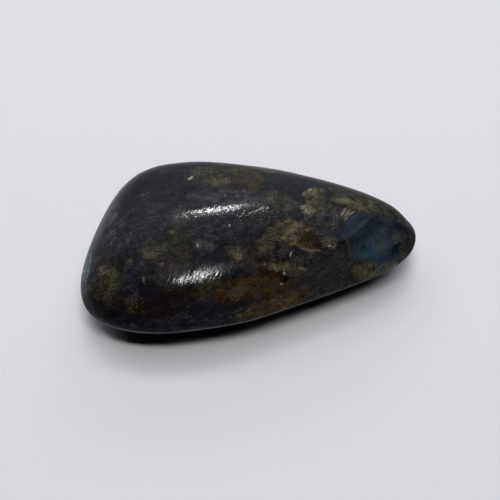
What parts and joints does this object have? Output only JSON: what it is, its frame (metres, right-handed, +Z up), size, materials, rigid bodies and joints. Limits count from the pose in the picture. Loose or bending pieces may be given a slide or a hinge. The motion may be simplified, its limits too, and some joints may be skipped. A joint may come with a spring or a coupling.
{
  "type": "labradorite pebble",
  "caption": "Polished labradorite pebble, a blunt rounded wedge of dark mottled feldspar with a blue flash near its tip, lying on its belly.",
  "frame": {"origin": "on the resting face, under the middle of the stone's box", "axes": "+X from the blunt end to the tip, +Y to the back, +Z up"},
  "size_m": [0.0598, 0.0378, 0.0192],
  "materials": {
    "labradorite": "polished, mottled slate grey with olive and brown clouds and a blue flash"
  },
  "bodies": {
    "root": {"pebble": "labradorite"}
  },
  "joints": []
}
